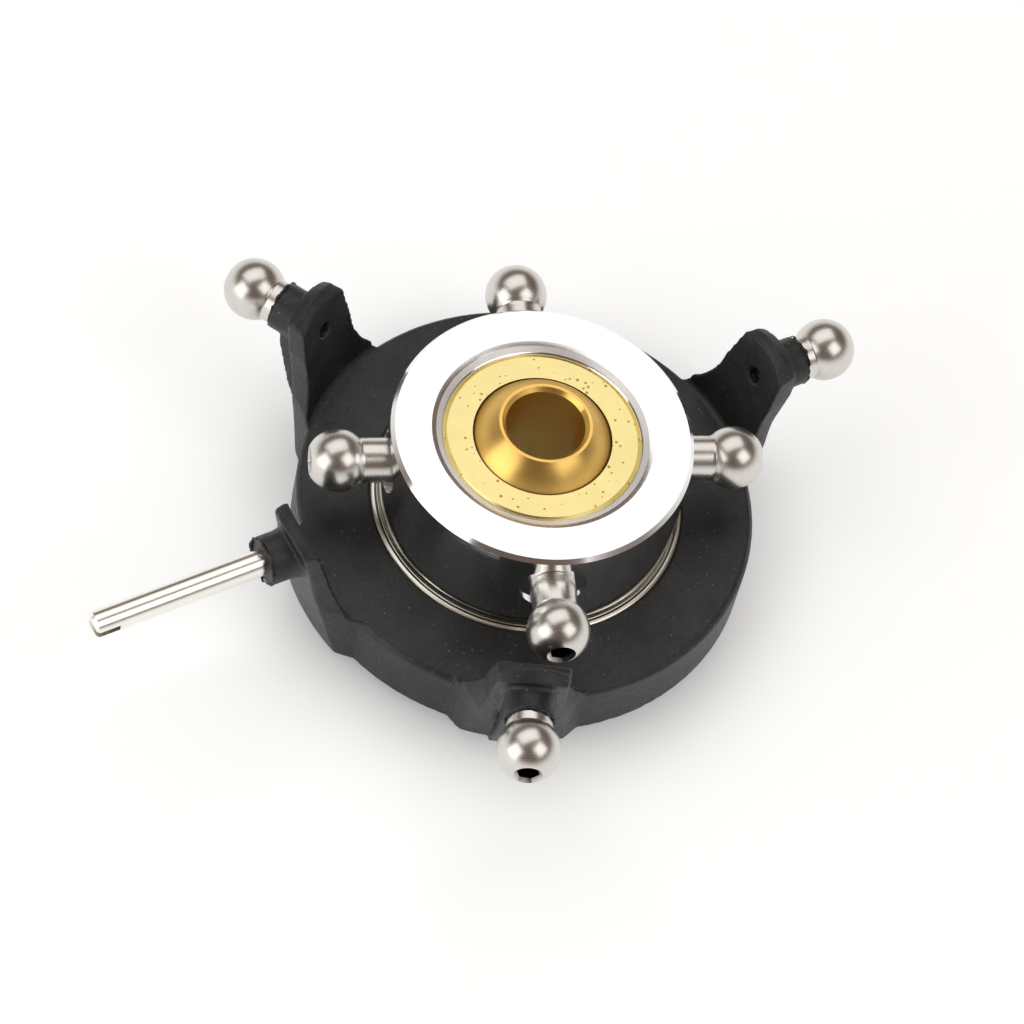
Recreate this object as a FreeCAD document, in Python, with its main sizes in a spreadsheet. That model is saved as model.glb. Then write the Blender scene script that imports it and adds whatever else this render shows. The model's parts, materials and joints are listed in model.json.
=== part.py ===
import FreeCAD, Part
import os
import Sketcher

# Helicopter swashplate, in millimetres.
# Origin: the pivot, at the centre of the mast ball.  +Z: up the mast.
# +X: towards the outer link ball that stands opposite the anti-rotation pin.

os.makedirs("parts", exist_ok=True)
doc = FreeCAD.newDocument("Swashplate")

# ---------------------------------------------------------------- sizes
SIZES = {
    # link balls, screwed into the hub and into the outer ring
    "link_ball_dia": 4.75,
    "link_collar_dia": 3.4,
    "link_shank_dia": 1.6,
    "link_shank_length": 2.9,
    "link_neck_length": 2.4,
    "socket_flats": 1.5,
    "socket_depth": 1.5,
    "socket_mouth_dia": 2.2,
    "socket_mouth_depth": 0.25,
    "thread_clearance": 0.02,
    "outer_ball_overhang": 7.9,
    "outer_ball_height": 0.3,
    "hub_ball_overhang": 3.65,
    # mast ball and its seat
    "mast_ball_dia": 12.0,
    "mast_ball_land_width": 0.23,
    "mast_bore_dia": 6.0,
    "mast_bore_chamfer": 0.3,
    "ball_clearance": 0.05,
    "seat_wall": 1.4,
    "seat_height": 1.55,
    "seat_depth": 4.25,
    "seat_clearance": 0.05,
    # brass retaining ring
    "cover_height": 3.1,
    "cover_ball_gap": 0.12,
    "cover_edge": 0.25,
    # hub (inner, turning ring)
    "hub_rim_gap": 0.55,
    "hub_height": 3.5,
    "hub_edge": 0.3,
    "hub_dish_width": 0.95,
    "hub_dish_depth": 0.5,
    "hub_skirt_gap": 0.4,
    "hub_skirt_wall": 2.35,
    "hub_spotface_dia": 5.0,
    "hub_spotface_depth": 0.4,
    "seat_shoulder_width": 2.25,
    "sleeve_mouth_wall": 1.4,
    "sleeve_tail_length": 1.05,
    # deep-groove bearing, 15 x 24 x 5
    "bearing_depth": 5.4,
    "bearing_bore_dia": 15.0,
    "bearing_section_width": 4.5,
    "bearing_width": 5.0,
    "bearing_ball_share": 0.53,
    "race_groove_share": 0.62,
    "bearing_ball_count": 11,
    "bearing_ball_gap": 0.04,
    "race_land_width": 0.72,
    "race_edge": 0.12,
    "shield_thickness": 0.2,
    "shield_recess": 0.12,
    "shield_step_width": 0.35,
    "shield_inner_gap": 0.15,
    "cage_rim_width": 0.26,
    "cage_thickness": 0.8,
    "cage_pocket_gap": 0.05,
    # circlip under the bearing
    "clip_thickness": 0.6,
    "clip_side_gap": 0.05,
    "clip_groove_depth": 0.4,
    "clip_ring_width": 1.3,
    "clip_opening_width": 3.4,
    # outer (non-turning) ring
    "ring_wall": 5.6,
    "ring_rise": 0.1,
    "ring_edge": 0.35,
    "bearing_lip_width": 1.2,
    "land_inset": 2.6,
    "land_height": 1.1,
    "land_edge": 0.6,
    # pylons: places along them, from the ring's wall or from the ball
    "pylon_root_depth": 1.0,
    "pylon_foot_offset": 0.1,
    "pylon_heel_offset": 0.8,
    "pylon_foot_fillet": 0.5,
    "crown_to_ball_length": 5.5,
    "brow_to_ball_length": 3.9,
    "tip_to_ball_length": 3.1,
    "pin_pylon_set_back": 0.5,
    # pylon block: half widths and heights where it starts and where it ends
    "block_root_half_width": 3.6,
    "block_tip_half_width": 2.35,
    "block_root_heel_width": 3.0,
    "block_tip_heel_width": 2.2,
    "crown_root_half_width": 3.08,
    "crown_tip_half_width": 2.38,
    "crown_height": 3.5,
    "crown_root_height": 4.95,
    "crown_tip_height": 2.45,
    "crown_rise": 0.75,
    "crown_ledge_drop": 0.45,
    "crown_ledge_depth": 0.35,
    "crown_ledge_half_width": 2.9,
    # pylon wings: half widths where they start and where they meet the block
    "wing_root_heel_width": 5.2,
    "wing_tip_heel_width": 2.2,
    "wing_root_foot_width": 5.0,
    "wing_tip_foot_width": 2.85,
    "wing_root_neck_width": 3.5,
    "wing_tip_neck_width": 2.7,
    "wing_end_height": 0.8,
    "neck_depth": 0.3,
    "boss_dia": 3.8,
    "boss_root_dia": 4.2,
    "boss_land_length": 1.5,
    "hole_spare_depth": 0.3,
    "pilot_hole_dia": 1.2,
    "rib_width": 3.4,
    "rib_set_back": 1.1,
    "rib_heel_offset": 0.3,
    "rib_bulge": 0.4,
    # anti-rotation pin
    "pin_dia": 2.0,
    "pin_root_dia": 1.6,
    "pin_length": 13.8,
    "pin_root_length": 2.9,
    "pin_slot_width": 0.55,
    "pin_slot_depth": 1.8,
    "pin_edge": 0.2,
}

sheet = doc.addObject("Spreadsheet::Sheet", "Sizes")
for row, (alias, value) in enumerate(SIZES.items(), start=1):
    sheet.set("A%d" % row, alias)
    sheet.set("B%d" % row, "%g" % value)
    sheet.setAlias("B%d" % row, alias)
doc.recompute()

# Working lengths that several pieces share, written once as expressions.
BALL_R = "(Sizes.mast_ball_dia / 2)"
SEAT_R = "(Sizes.mast_ball_dia / 2 + Sizes.seat_wall)"
POCKET_R = "(Sizes.mast_ball_dia / 2 + Sizes.seat_wall + Sizes.seat_clearance)"
BORE_R = "(Sizes.bearing_bore_dia / 2)"
RACE_R = "(Sizes.bearing_bore_dia / 2 + Sizes.bearing_section_width)"
PITCH_R = "(Sizes.bearing_bore_dia / 2 + Sizes.bearing_section_width / 2)"
BEAD_R = "(Sizes.bearing_section_width * Sizes.bearing_ball_share / 2)"
HUB_R = "(%s - Sizes.hub_rim_gap)" % RACE_R
RING_R = "(%s + Sizes.ring_wall)" % RACE_R
HUB_BALL_R = "(%s + Sizes.hub_ball_overhang)" % HUB_R
OUTER_BALL_R = "(%s + Sizes.outer_ball_overhang)" % RING_R
HUB_SEAT_R = "(%s - Sizes.hub_spotface_depth)" % HUB_R
BOSS_END_R = "(%s - Sizes.link_neck_length)" % OUTER_BALL_R
BEARING_MID = "(-Sizes.bearing_depth - Sizes.bearing_width / 2)"
BEARING_LOW = "(-Sizes.bearing_depth - Sizes.bearing_width)"
RING_TOP = "(Sizes.ring_rise - Sizes.bearing_depth)"
COVER_LOW = "(Sizes.seat_height + Sizes.seat_clearance)"
SEAT_FLOOR = "(-Sizes.seat_depth - Sizes.seat_clearance)"
SKIRT_LOW = "(Sizes.hub_skirt_gap - Sizes.bearing_depth)"
CLIP_LOW = "(-Sizes.bearing_depth - Sizes.bearing_width - Sizes.clip_thickness)"


def value(expression):
    """The present value of a sheet expression, as a plain number."""
    answer = sheet.evalExpression(expression)
    return float(getattr(answer, "Value", answer))


def new_body(name):
    """An empty PartDesign body."""
    body = doc.addObject("PartDesign::Body", name)
    body.Label = name
    return body


def plane(body, role):
    """One of a body's own origin planes."""
    for feature in body.Origin.OriginFeatures:
        if feature.Role == role:
            return feature
    raise ValueError(role)


def new_sketch(body, name, role, offset=None):
    """A sketch flat on an origin plane, lifted off it by an expression."""
    sketch = body.newObject("Sketcher::SketchObject", name)
    sketch.AttachmentSupport = [(plane(body, role), "")]
    sketch.MapMode = "FlatFace"
    if offset is not None:
        sketch.setExpression("AttachmentOffset.Base.z", offset)
    return sketch


def hold(sketch, geometry, end, axis, expression):
    """Ties one coordinate of a sketch point to an expression."""
    if expression == "0":
        line = -2 if axis == "X" else -1
        sketch.addConstraint(Sketcher.Constraint("PointOnObject", geometry, end, line))
        return
    amount = value(expression)
    index = sketch.addConstraint(
        Sketcher.Constraint("Distance" + axis, -1, 1, geometry, end, amount))
    sketch.setExpression("Constraints[%d]" % index, expression)


def outline(sketch, corners, arcs=None):
    """Draws a closed outline.  A corner is (x, y) or (x, y, free), where the
    free coordinate follows from an arc.  arcs gives, by edge number, the arc's
    centre; the short way round is taken."""
    arcs = arcs or {}
    count = len(corners)
    points = [(value(c[0]), value(c[1])) for c in corners]
    ends = []
    for i in range(count):
        start = FreeCAD.Vector(points[i][0], points[i][1], 0)
        stop = FreeCAD.Vector(points[(i + 1) % count][0], points[(i + 1) % count][1], 0)
        if i not in arcs:
            geometry = sketch.addGeometry(Part.LineSegment(start, stop), False)
            ends.append((geometry, 1, 2))
            continue
        centre = FreeCAD.Vector(value(arcs[i][0]), value(arcs[i][1]), 0)
        ray_a = start - centre
        ray_b = stop - centre
        turn = ray_a.x * ray_b.y - ray_a.y * ray_b.x
        first, last = (ray_a, ray_b) if turn > 0 else (ray_b, ray_a)
        circle = Part.Circle(centre, FreeCAD.Vector(0, 0, 1), ray_a.Length)
        arc = Part.ArcOfCircle(circle, circle.parameter(centre + first),
                               circle.parameter(centre + last))
        geometry = sketch.addGeometry(arc, False)
        ends.append((geometry, 1, 2) if turn > 0 else (geometry, 2, 1))
        hold(sketch, geometry, 3, "X", arcs[i][0])
        hold(sketch, geometry, 3, "Y", arcs[i][1])
    for i in range(count):
        before = ends[i - 1]
        here = ends[i]
        sketch.addConstraint(
            Sketcher.Constraint("Coincident", before[0], before[2], here[0], here[1]))
    for i, corner in enumerate(corners):
        free = corner[2] if len(corner) > 2 else ""
        if "x" not in free:
            hold(sketch, ends[i][0], ends[i][1], "X", corner[0])
        if "y" not in free:
            hold(sketch, ends[i][0], ends[i][1], "Y", corner[1])


def circle(sketch, radius, x="0", y="0"):
    """Draws a full circle about (x, y)."""
    centre = FreeCAD.Vector(value(x), value(y), 0)
    geometry = sketch.addGeometry(
        Part.Circle(centre, FreeCAD.Vector(0, 0, 1), value(radius)), False)
    hold(sketch, geometry, 3, "X", x)
    hold(sketch, geometry, 3, "Y", y)
    index = sketch.addConstraint(Sketcher.Constraint("Radius", geometry, value(radius)))
    sketch.setExpression("Constraints[%d]" % index, radius)


def revolve(body, name, corners, arcs=None, axis="V_Axis", cut=False):
    """Turns an XZ outline about the mast axis (V_Axis) or the X axis (H_Axis)."""
    sketch = new_sketch(body, name + "_profile", "XZ_Plane")
    outline(sketch, corners, arcs)
    kind = "PartDesign::Groove" if cut else "PartDesign::Revolution"
    feature = body.newObject(kind, name)
    feature.Profile = sketch
    feature.ReferenceAxis = (sketch, [axis])
    feature.Angle = 360
    return feature


def drill(body, name, radius, start, depth, x="0", y="0"):
    """Bores a round hole along X, inwards from the plane x = start."""
    sketch = new_sketch(body, name + "_circle", "YZ_Plane", start)
    circle(sketch, radius, x, y)
    feature = body.newObject("PartDesign::Pocket", name)
    feature.Profile = sketch
    feature.Type = 0
    feature.setExpression("Length", depth)
    return feature


def polar(body, name, features, count, angle=360):
    """Repeats features round the mast axis."""
    pattern = body.newObject("PartDesign::PolarPattern", name)
    pattern.Originals = features
    pattern.Axis = (new_axis(body), [""])
    pattern.Angle = angle
    pattern.Occurrences = count
    body.Tip = pattern
    return pattern


def new_axis(body):
    """The body's own Z axis."""
    for feature in body.Origin.OriginFeatures:
        if feature.Role == "Z_Axis":
            return feature
    raise ValueError("Z_Axis")


def turned(obj, degrees, height="0"):
    """Turns an object about the mast axis and lifts it by an expression."""
    obj.Placement = FreeCAD.Placement(
        FreeCAD.Vector(0, 0, 0), FreeCAD.Rotation(FreeCAD.Vector(0, 0, 1), degrees))
    if height != "0":
        obj.setExpression("Placement.Base.z", height)
    return obj


# ---------------------------------------------------------------- link balls
def link_ball(name, reach, seat, degrees, height="0"):
    """A steel link ball on its collar and shank, pointing outwards along X,
    with a hexagon socket in its tip.  reach is the ball's centre, and seat the
    face that the collar stands on."""
    body = new_body(name)
    ball = "Sizes.link_ball_dia / 2"
    collar = "Sizes.link_collar_dia / 2"
    shank = "Sizes.link_shank_dia / 2"
    neck = reach + " - sqrt(pow(%s; 2) - pow(%s; 2))" % (ball, collar)
    tail = seat + " - Sizes.link_shank_length"
    mouth = "Sizes.socket_mouth_dia / 2"
    tip = reach + " + sqrt(pow(%s; 2) - pow(%s; 2))" % (ball, mouth)
    revolve(body, name + "_turning", [
        (tail, "0"),
        (tail, shank),
        (seat, shank),
        (seat, collar),
        (neck, collar, "x"),
        (tip, mouth, "x"),
        (tip, "0", "x"),
    ], arcs={4: (reach, "0")}, axis="H_Axis")
    doc.recompute()
    socket = new_sketch(body, name + "_socket_hexagon", "YZ_Plane", tip)
    hexagon(socket, "Sizes.socket_flats / 2")
    pocket = body.newObject("PartDesign::Pocket", name + "_socket")
    pocket.Profile = socket
    pocket.Type = 0
    pocket.setExpression("Length", "Sizes.socket_depth")
    revolve(body, name + "_countersink", [
        (tip + " - Sizes.socket_mouth_depth", "0"),
        (tip + " - Sizes.socket_mouth_depth", "Sizes.socket_flats / 2"),
        (tip, mouth),
        (tip, "0"),
    ], axis="H_Axis", cut=True)
    return turned(body, degrees, height)


def hexagon(sketch, inradius):
    """Draws a regular hexagon, flats up and down."""
    half = "(%s) / cos(30)" % inradius
    corners = []
    for i in range(6):
        corners.append(("(%s) * cos(%d)" % (half, 60 * i), "(%s) * sin(%d)" % (half, 60 * i)))
    corners[0] = (half, "0")
    corners[3] = ("-(%s)" % half, "0")
    outline(sketch, corners)


OUTER_BALL_ANGLES = [0, 120, 240]
PIN_ANGLE = 180
HUB_BALL_COUNT = 4
HUB_BALL_TURN = -22.5
CLIP_TURN = 45

pieces = []
for number, degrees in enumerate(OUTER_BALL_ANGLES, start=1):
    pieces.append(link_ball("outer_link_ball_%d" % number, OUTER_BALL_R, BOSS_END_R, degrees,
                            "Sizes.outer_ball_height"))
for number in range(HUB_BALL_COUNT):
    degrees = HUB_BALL_TURN + 360 / HUB_BALL_COUNT * number
    pieces.append(link_ball("hub_link_ball_%d" % (number + 1), HUB_BALL_R, HUB_SEAT_R, degrees))

# ---------------------------------------------------------------- mast ball
body = new_body("centre_ball")
bore = "Sizes.mast_bore_dia / 2"
land_r = "(%s + Sizes.mast_bore_chamfer + Sizes.mast_ball_land_width)" % bore
half_height = "sqrt(pow(%s; 2) - pow(%s; 2))" % (BALL_R, land_r)
revolve(body, "centre_ball_turning", [
    (bore, "-(%s - Sizes.mast_bore_chamfer)" % half_height),
    (bore + " + Sizes.mast_bore_chamfer", "-(%s)" % half_height),
    (land_r, "-(%s)" % half_height, "x"),
    (land_r, half_height, "x"),
    (bore + " + Sizes.mast_bore_chamfer", half_height),
    (bore, "%s - Sizes.mast_bore_chamfer" % half_height),
], arcs={2: ("0", "0")})
pieces.append(body)

# Floating seat: round outside so that it can turn in the hub, spherical inside.
body = new_body("ball_seat")
seat_ball = "(%s + Sizes.ball_clearance)" % BALL_R
seat_low_r = "sqrt(pow(%s; 2) - pow(Sizes.seat_depth; 2))" % seat_ball
seat_high_r = "sqrt(pow(%s; 2) - pow(Sizes.seat_height; 2))" % seat_ball
revolve(body, "ball_seat_turning", [
    (seat_low_r, "-Sizes.seat_depth", "x"),
    (SEAT_R, "-Sizes.seat_depth"),
    (SEAT_R, "Sizes.seat_height"),
    (seat_high_r, "Sizes.seat_height", "x"),
], arcs={3: ("0", "0")})
pieces.append(body)

# Brass ring pressed into the hub over the seat.
body = new_body("ball_retaining_ring")
cover_ball = "(%s + Sizes.cover_ball_gap)" % BALL_R
cover_low_r = "sqrt(pow(%s; 2) - pow(%s; 2))" % (cover_ball, COVER_LOW)
cover_high_r = "sqrt(pow(%s; 2) - pow(Sizes.cover_height; 2))" % cover_ball
revolve(body, "ball_retaining_ring_turning", [
    (cover_low_r, COVER_LOW, "x"),
    (POCKET_R, COVER_LOW),
    (POCKET_R, "Sizes.cover_height - Sizes.cover_edge"),
    (POCKET_R + " - Sizes.cover_edge", "Sizes.cover_height"),
    (cover_high_r, "Sizes.cover_height", "x"),
], arcs={4: ("0", "0")})
pieces.append(body)

# ---------------------------------------------------------------- hub
body = new_body("hub")
groove_r = "(%s - Sizes.clip_groove_depth)" % BORE_R
groove_low = "(%s - Sizes.clip_side_gap)" % CLIP_LOW
sleeve_end = "(%s - Sizes.sleeve_tail_length)" % BEARING_LOW
revolve(body, "hub_turning", [
    (POCKET_R, SEAT_FLOOR),
    (POCKET_R, "Sizes.hub_height - Sizes.hub_dish_depth"),
    (POCKET_R + " + Sizes.hub_dish_width", "Sizes.hub_height"),
    (HUB_R + " - Sizes.hub_edge", "Sizes.hub_height"),
    (HUB_R, "Sizes.hub_height - Sizes.hub_edge"),
    (HUB_R, SKIRT_LOW + " + Sizes.hub_edge"),
    (HUB_R + " - Sizes.hub_edge", SKIRT_LOW),
    (HUB_R + " - Sizes.hub_skirt_wall", SKIRT_LOW),
    (BORE_R + " + Sizes.race_land_width", "-Sizes.bearing_depth"),
    (BORE_R, "-Sizes.bearing_depth"),
    (BORE_R, BEARING_LOW),
    (groove_r, BEARING_LOW),
    (groove_r, groove_low),
    (BORE_R, groove_low),
    (BORE_R, sleeve_end),
    (BORE_R + " - Sizes.sleeve_mouth_wall", sleeve_end),
    (POCKET_R + " - Sizes.seat_shoulder_width", SEAT_FLOOR),
])
doc.recompute()
spotface = drill(body, "hub_spotface", "Sizes.hub_spotface_dia / 2",
                 HUB_R + " + Sizes.hub_edge", "Sizes.hub_spotface_depth + Sizes.hub_edge")
doc.recompute()
stud_hole = drill(body, "hub_stud_hole", "Sizes.link_shank_dia / 2 + Sizes.thread_clearance",
                  HUB_R, "Sizes.hub_spotface_depth + Sizes.link_shank_length + Sizes.hub_edge")
doc.recompute()
polar(body, "hub_stud_pattern", [spotface, stud_hole], HUB_BALL_COUNT)
turned(body, HUB_BALL_TURN)
pieces.append(body)

# ---------------------------------------------------------------- bearing
groove_ball = "(%s + Sizes.bearing_ball_gap)" % BEAD_R
race_half = "Sizes.bearing_width / 2"
groove_reach = "(%s * Sizes.race_groove_share)" % BEAD_R
groove_rise = "sqrt(pow(%s; 2) - pow(%s; 2))" % (groove_ball, groove_reach)


def race(name, wall, sign):
    """A bearing race: a plain ring with a ball groove and a step for the
    shields.  sign is +1 for the inner race and -1 for the outer one."""
    body = new_body(name)
    inwards = "(%d)" % sign
    land = "(%s - %s * %s)" % (PITCH_R, inwards, groove_reach)
    high = "(%s + %s)" % (BEARING_MID, race_half)
    low = "(%s - %s)" % (BEARING_MID, race_half)
    edge = "Sizes.race_edge"
    corners = [
        (wall, "%s + %s" % (low, edge)),
        (wall, "%s - %s" % (high, edge)),
        ("%s + %s * %s" % (wall, inwards, edge), high),
    ]
    if sign > 0:
        corners += [(land, high)]
    else:
        step = "(%s + Sizes.shield_step_width)" % land
        ledge = "(Sizes.shield_recess + Sizes.shield_thickness)"
        corners += [(step, high), (step, "%s - %s" % (high, ledge)),
                    (land, "%s - %s" % (high, ledge))]
    arc_edge = len(corners)
    corners += [
        (land, "%s + %s" % (BEARING_MID, groove_rise), "y"),
        (land, "%s - %s" % (BEARING_MID, groove_rise), "y"),
    ]
    if sign > 0:
        corners += [(land, low)]
    else:
        corners += [(land, "%s + %s" % (low, ledge)), (step, "%s + %s" % (low, ledge)),
                    (step, low)]
    corners += [("%s + %s * %s" % (wall, inwards, edge), low)]
    revolve(body, name + "_turning", corners, arcs={arc_edge: (PITCH_R, BEARING_MID)})
    return body


pieces.append(race("bearing_inner_race", BORE_R, 1))
pieces.append(race("bearing_outer_race", RACE_R, -1))


def shield(name, face):
    """A pressed dust shield, seated in the step of the outer race."""
    body = new_body(name)
    rim_r = "(%s + %s + Sizes.shield_step_width)" % (PITCH_R, groove_reach)
    inner_r = "(%s - %s + Sizes.shield_inner_gap)" % (PITCH_R, groove_reach)
    outside = "(%s + (%d) * (%s - Sizes.shield_recess))" % (BEARING_MID, face, race_half)
    inside = "(%s - (%d) * Sizes.shield_thickness)" % (outside, face)
    revolve(body, name + "_pressing", [
        (inner_r, inside), (rim_r, inside), (rim_r, outside), (inner_r, outside)])
    return body


pieces.append(shield("bearing_shield_top", 1))
pieces.append(shield("bearing_shield_bottom", -1))

bead_angle = 360 / value("Sizes.bearing_ball_count")

body = new_body("bearing_cage")
cage_half = "(%s + Sizes.cage_pocket_gap + Sizes.cage_rim_width)" % BEAD_R
cage_low = "(%s - %s)" % (BEARING_MID, cage_half)
cage_high = "(%s + %s)" % (BEARING_MID, cage_half)
cage_in = "(%s - Sizes.cage_thickness / 2)" % PITCH_R
cage_out = "(%s + Sizes.cage_thickness / 2)" % PITCH_R
revolve(body, "bearing_cage_ring", [
    (cage_in, cage_low), (cage_out, cage_low), (cage_out, cage_high), (cage_in, cage_high)])
doc.recompute()
pocket = drill(body, "bearing_cage_pocket", "%s + Sizes.cage_pocket_gap" % BEAD_R,
               RACE_R, RACE_R, y=BEARING_MID)
doc.recompute()
polar(body, "bearing_cage_pockets", [pocket], int(value("Sizes.bearing_ball_count")))
pieces.append(body)

# The bearing's balls: one sphere copied round the pitch circle, as separate solids.
beads = []
for number in range(int(value("Sizes.bearing_ball_count"))):
    bead = doc.addObject("Part::Sphere", "bead_%d" % (number + 1))
    bead.setExpression("Radius", BEAD_R)
    angle = "%g" % (bead_angle * number)
    bead.setExpression("Placement.Base.x", "%s * cos(%s)" % (PITCH_R, angle))
    bead.setExpression("Placement.Base.y", "%s * sin(%s)" % (PITCH_R, angle))
    bead.setExpression("Placement.Base.z", BEARING_MID)
    beads.append(bead)
bead_group = doc.addObject("Part::Compound", "bearing_balls")
bead_group.Links = beads
pieces.append(bead_group)

# ---------------------------------------------------------------- circlip
body = new_body("hub_circlip")
clip_outer = "(%s + Sizes.clip_ring_width - Sizes.clip_groove_depth)" % BORE_R
revolve(body, "hub_circlip_ring", [
    (groove_r, CLIP_LOW), (clip_outer, CLIP_LOW), (clip_outer, BEARING_LOW), (groove_r, BEARING_LOW)])
doc.recompute()
gap = new_sketch(body, "hub_circlip_gap_outline", "XY_Plane", CLIP_LOW)
outline(gap, [
    ("-(%s) - Sizes.clip_ring_width" % BORE_R, "-Sizes.clip_opening_width / 2"),
    ("-Sizes.clip_opening_width", "-Sizes.clip_opening_width / 2"),
    ("-Sizes.clip_opening_width", "Sizes.clip_opening_width / 2"),
    ("-(%s) - Sizes.clip_ring_width" % BORE_R, "Sizes.clip_opening_width / 2"),
])
opening = body.newObject("PartDesign::Pocket", "hub_circlip_gap")
opening.Profile = gap
opening.Type = 0
opening.Reversed = True
opening.setExpression("Length", "Sizes.clip_thickness")
turned(body, CLIP_TURN)
pieces.append(body)

# ---------------------------------------------------------------- outer ring
ring = new_body("ring_moulding")
land_low = "(%s - Sizes.land_height)" % BEARING_LOW
revolve(ring, "ring_turning", [
    (RACE_R + " - Sizes.bearing_lip_width", land_low),
    (RING_R + " - Sizes.land_inset", land_low),
    (RING_R + " - Sizes.land_inset + Sizes.land_edge", BEARING_LOW),
    (RING_R, BEARING_LOW),
    (RING_R, "%s - Sizes.ring_edge" % RING_TOP),
    (RING_R + " - Sizes.ring_edge", RING_TOP),
    (RACE_R, RING_TOP),
    (RACE_R, BEARING_LOW),
    (RACE_R + " - Sizes.bearing_lip_width", BEARING_LOW),
])


PYLON_ROOT = "(%s - Sizes.pylon_root_depth)" % RING_R
PYLON_CROWN = "(%s - Sizes.crown_to_ball_length)" % OUTER_BALL_R
PYLON_BROW = "(%s - Sizes.brow_to_ball_length)" % OUTER_BALL_R
PYLON_TIP = "(%s - Sizes.tip_to_ball_length)" % OUTER_BALL_R
NECK_Z = "(-Sizes.neck_depth)"


def block_outline(sketch, end):
    """A pylon's block, seen from the mast, at its root or its tip end:
    upright flanks under a low arched crown."""
    heel = "Sizes.block_%s_heel_width" % end
    flank = "Sizes.block_%s_half_width" % end
    half = "Sizes.crown_%s_half_width" % end
    crown = "Sizes.crown_%s_height" % end
    corner = "%s - Sizes.crown_rise" % crown
    crown_r = "(pow(%s; 2) + pow(Sizes.crown_rise; 2)) / (2 * Sizes.crown_rise)" % half
    outline(sketch, [
        (heel, BEARING_LOW),
        (flank, NECK_Z),
        (half, corner),
        ("-" + half, corner, "x"),
        ("-" + flank, NECK_Z),
        ("-" + heel, BEARING_LOW),
    ], arcs={2: ("0", "%s - (%s)" % (crown, crown_r))})


def wing_outline(sketch, end):
    """The wings of a pylon at one end: a blunt foot on the ring that sweeps
    up and in to the neck."""
    heel = "Sizes.wing_%s_heel_width" % end
    foot = "Sizes.wing_%s_foot_width" % end
    neck = "Sizes.wing_%s_neck_width" % end
    foot_z = "(%s + Sizes.wing_end_height)" % RING_TOP
    run = "(%s - %s)" % (foot, neck)
    rise = "(%s - %s)" % (NECK_Z, foot_z)
    sweep_r = "((pow(%s; 2) + pow(%s; 2)) / (2 * %s))" % (run, rise, run)
    sweep_y = "(%s + %s)" % (neck, sweep_r)
    outline(sketch, [
        (heel, BEARING_LOW),
        (foot, RING_TOP),
        (foot, foot_z),
        (neck, NECK_Z, "x"),
        ("-" + neck, NECK_Z, "x"),
        ("-" + foot, foot_z),
        ("-" + foot, RING_TOP),
        ("-" + heel, BEARING_LOW),
    ], arcs={2: (sweep_y, NECK_Z), 4: ("-" + sweep_y, NECK_Z)})


def web(body, name, draw, start, stop):
    """A ruled loft along +X between two outlines of one kind."""
    root = new_sketch(body, name + "_root", "YZ_Plane", start)
    draw(root, "root")
    tip = new_sketch(body, name + "_tip", "YZ_Plane", stop)
    draw(tip, "tip")
    loft = body.newObject("PartDesign::AdditiveLoft", name)
    loft.Profile = root
    loft.Sections = [tip]
    loft.Ruled = True
    doc.recompute()


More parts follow.
